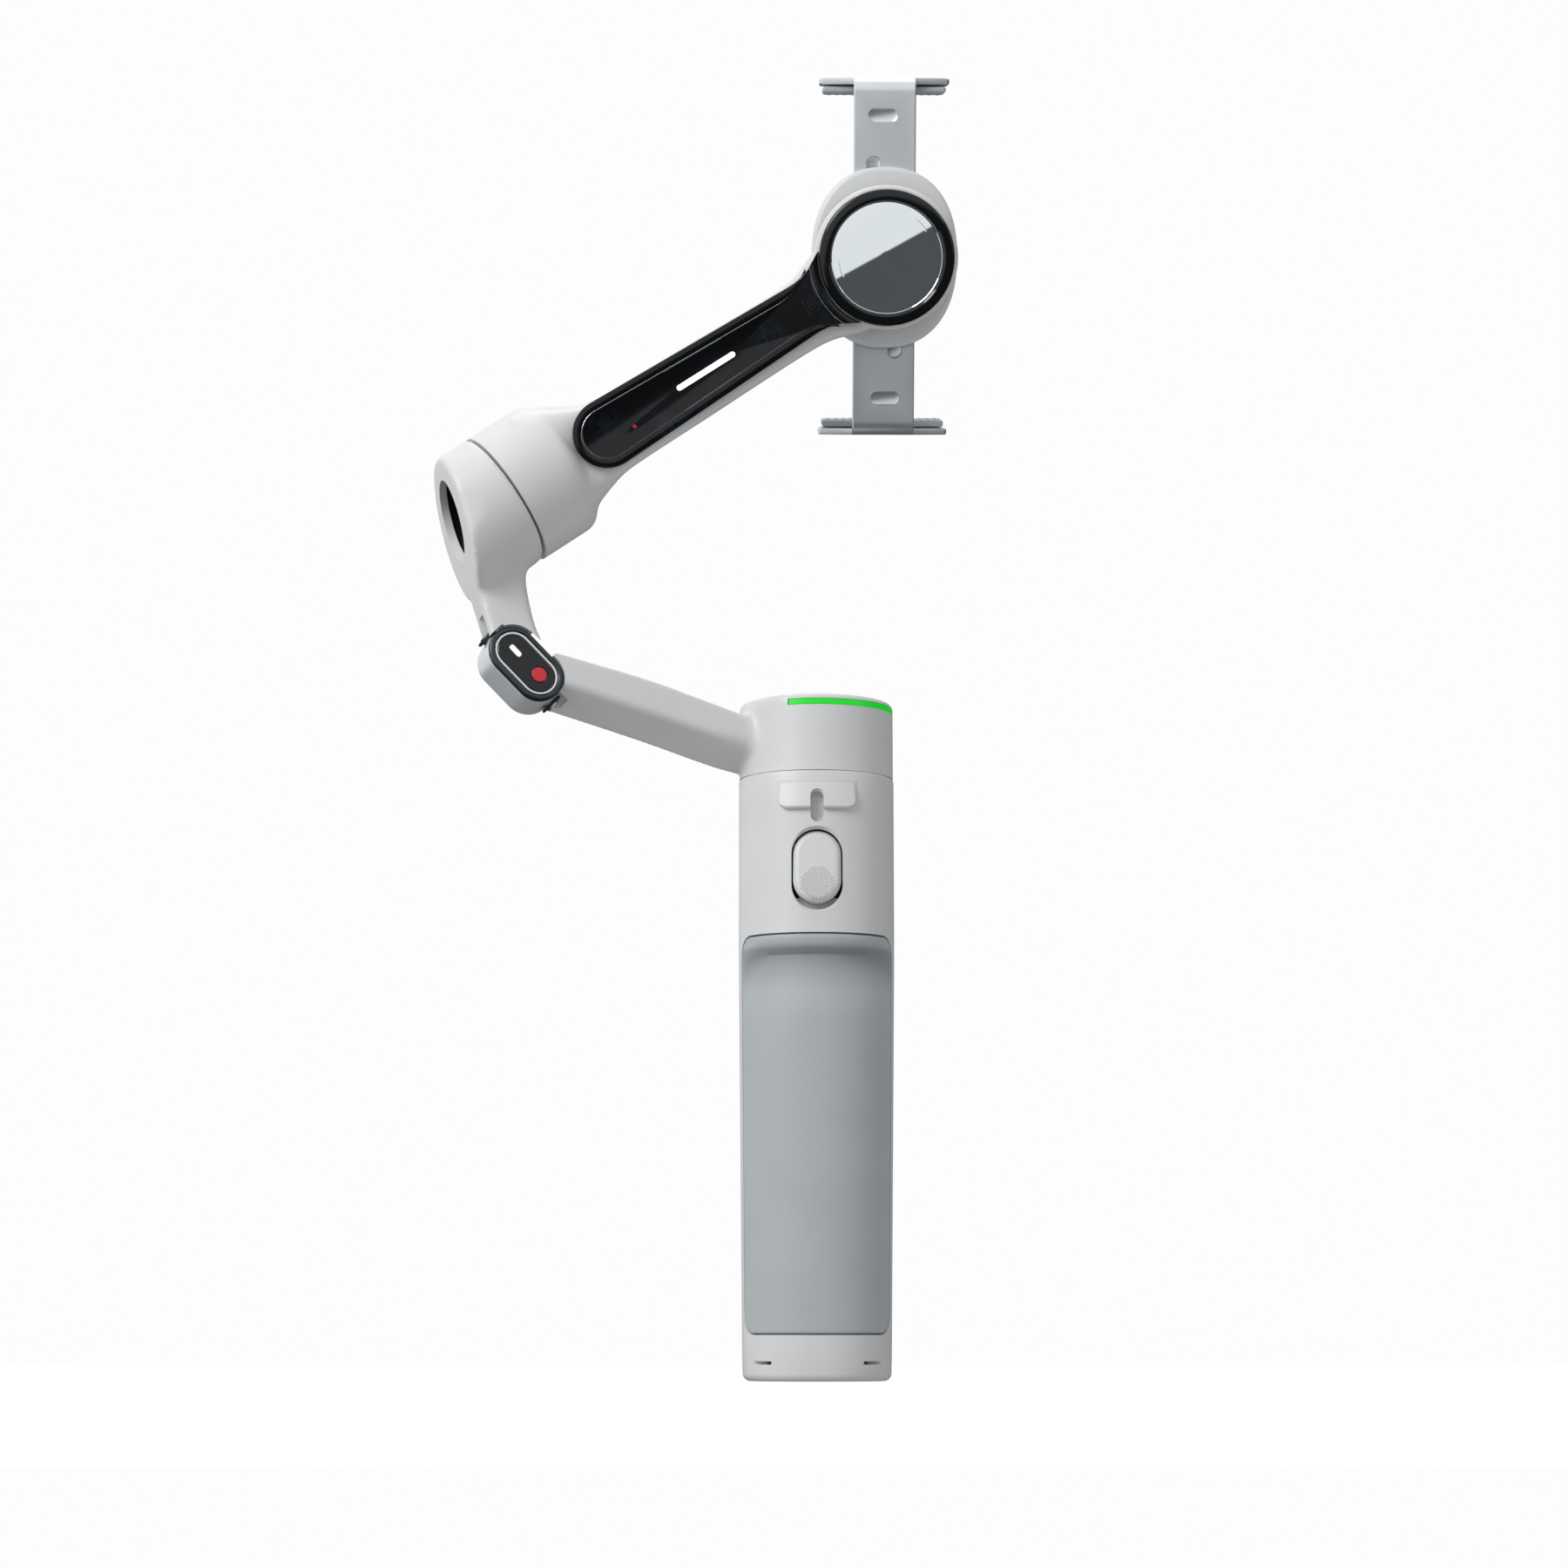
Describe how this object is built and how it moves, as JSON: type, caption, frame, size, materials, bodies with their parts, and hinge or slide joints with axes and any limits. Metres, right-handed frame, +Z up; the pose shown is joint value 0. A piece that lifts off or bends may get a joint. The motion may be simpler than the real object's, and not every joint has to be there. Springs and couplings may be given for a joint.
{
  "type": "gimbal stabilizer",
  "caption": "Folding three-axis phone stabilizer: round grip handle, pan arm, fold joint, tilt arm, roll motor and a sprung two-jaw phone clamp.",
  "frame": {"origin": "centre of the flat base of the handle, on the pan axis, at the mouth of the tripod thread", "axes": "+Z up the handle, +Y towards the user side with the joystick, +X to the right of someone facing the trigger side"},
  "size_m": [0.113, 0.0575, 0.2835],
  "materials": {
    "shell": "fine spark-textured moulded shell, warm light grey",
    "rubber": "matt soft-touch grip rubber",
    "aluminium": "bead-blasted satin aluminium",
    "steel": "machined steel",
    "dark": "matt dark plastic",
    "bezel": "dark grey bezel",
    "gloss": "smoked gloss polycarbonate",
    "mirror": "polished mirror disc",
    "inlay": "white inlay",
    "red": "red button plastic",
    "green_light": "lit green light guide",
    "white_light": "lit white light guide",
    "brass": "turned brass",
    "coil": "copper winding on a laminated core",
    "cell": "sleeved lithium cell",
    "board": "solder-masked circuit board"
  },
  "bodies": {
    "handle": {"front_shell": "shell", "back_shell": "shell", "grip_pad": "rubber", "front_tab": "shell", "trigger_pin": "steel", "wheel_panel": "dark", "usb_socket": "steel", "rod_sleeve": "steel", "rod_collar": "dark", "battery": "cell", "main_board": "board"},
    "trigger": {"trigger": "shell"},
    "stick_yoke": {"joystick_yoke": "steel"},
    "stick": {"joystick": "dark"},
    "record_key": {"record_button": "red"},
    "power_key": {"power_button": "shell"},
    "tripod": {"tripod_hub": "shell", "thread_insert": "brass", "tripod_leg_1": "aluminium", "tripod_leg_2": "aluminium", "tripod_leg_3": "aluminium"},
    "rod_1": {"rod_stage_1": "aluminium"},
    "rod_2": {"rod_stage_2": "aluminium"},
    "rod_3": {"rod_stage_3": "aluminium", "pan_stator": "coil"},
    "pan": {"pan_rotor": "steel", "pan_shaft": "steel", "pan_housing": "shell", "pan_cap": "shell", "light_bar": "green_light", "elbow_block": "aluminium", "elbow_bezel": "bezel", "elbow_inlay": "inlay", "elbow_face": "gloss", "elbow_light": "white_light", "fold_pin": "steel", "lower_gasket": "dark"},
    "elbow_key": {"elbow_button": "red"},
    "upper": {"upper_arm": "shell", "upper_gasket": "dark", "ring_liner": "steel", "tilt_stator": "coil"},
    "head": {"head_arm": "shell", "tilt_rotor": "steel", "arm_cover": "gloss", "arm_light": "white_light", "arm_board": "board", "roll_bezel": "gloss", "roll_mirror": "mirror", "roll_stator": "coil"},
    "clamp": {"clamp_body": "shell", "magnet_ring": "steel", "roll_rotor": "steel", "clamp_pad": "rubber"},
    "pinion": {"jaw_pinion": "steel"},
    "jaw_up": {"upper_jaw": "aluminium", "upper_jaw_pad": "rubber"},
    "jaw_down": {"lower_jaw": "aluminium", "lower_jaw_pad": "rubber"}
  },
  "joints": [
    {"name": "trigger_press", "type": "hinge", "parent": "handle", "child": "trigger", "pos_m": [0, -0.0129, 0.1126], "axis": [1, 0, 0], "range_deg": [0, 7], "stiffness_Nm_per_rad": 0.05},
    {"name": "stick_up_down", "type": "hinge", "parent": "handle", "child": "stick_yoke", "pos_m": [0, 0.013, 0.104], "axis": [1, 0, 0], "range_deg": [-10, 10], "stiffness_Nm_per_rad": 0.02},
    {"name": "stick_left_right", "type": "hinge", "parent": "stick_yoke", "child": "stick", "pos_m": [0, 0.013, 0.104], "axis": [0, 0, 1], "range_deg": [-10, 10], "stiffness_Nm_per_rad": 0.02},
    {"name": "record_press", "type": "slide", "parent": "handle", "child": "record_key", "axis": [0, -1, 0], "range_m": [0, 0.0008], "stiffness_N_per_m": 400},
    {"name": "power_press", "type": "slide", "parent": "handle", "child": "power_key", "axis": [0, -1, 0], "range_m": [0, 0.0006], "stiffness_N_per_m": 400},
    {"name": "tripod_pull", "type": "slide", "parent": "handle", "child": "tripod", "axis": [0, 0, -1], "range_m": [0, 0.044]},
    {"name": "rod_1_slide", "type": "slide", "parent": "handle", "child": "rod_1", "axis": [0, 0, 1], "range_m": [0, 0.045]},
    {"name": "rod_2_slide", "type": "slide", "parent": "rod_1", "child": "rod_2", "axis": [0, 0, 1], "range_m": [0, 0.045]},
    {"name": "rod_3_slide", "type": "slide", "parent": "rod_2", "child": "rod_3", "axis": [0, 0, 1], "range_m": [0, 0.045]},
    {"name": "pan", "type": "hinge", "parent": "rod_3", "child": "pan", "pos_m": [0, 0, 0.135], "axis": [0, 0, 1], "continuous": true},
    {"name": "elbow_press", "type": "slide", "parent": "pan", "child": "elbow_key", "axis": [-0.3416, 0.9242, -0.1708], "range_m": [0, 0.00025], "stiffness_N_per_m": 400},
    {"name": "fold", "type": "hinge", "parent": "pan", "child": "upper", "pos_m": [-0.06298, -0.02092, 0.14856], "axis": [0.6942, 0.1256, -0.7088], "range_deg": [0, 180]},
    {"name": "tilt", "type": "hinge", "parent": "upper", "child": "head", "pos_m": [-0.0665, -0.02, 0.186], "axis": [0.8032, 0.1566, 0.5747], "range_deg": [-110, 110]},
    {"name": "roll", "type": "hinge", "parent": "head", "child": "clamp", "pos_m": [0.015, -0.0281, 0.237], "axis": [0.008, -0.9579, -0.287], "range_deg": [-95, 95]},
    {"name": "jaw_spin", "type": "hinge", "parent": "clamp", "child": "pinion", "pos_m": [0.015, -0.0281, 0.237], "axis": [0.008, -0.9579, -0.287], "range_deg": [-71, 63]},
    {"name": "upper_jaw_slide", "type": "slide", "parent": "clamp", "child": "jaw_up", "axis": [0.0024, -0.287, 0.9579], "range_m": [-0.0052, 0.0046]},
    {"name": "lower_jaw_slide", "type": "slide", "parent": "clamp", "child": "jaw_down", "axis": [-0.0024, 0.287, -0.9579], "range_m": [-0.0052, 0.0046]}
  ],
  "couplings": [
    {"joint": "jaw_spin", "follows": "upper_jaw_slide", "rad_per_m": 232.56},
    {"joint": "lower_jaw_slide", "follows": "upper_jaw_slide", "ratio": 1}
  ]
}
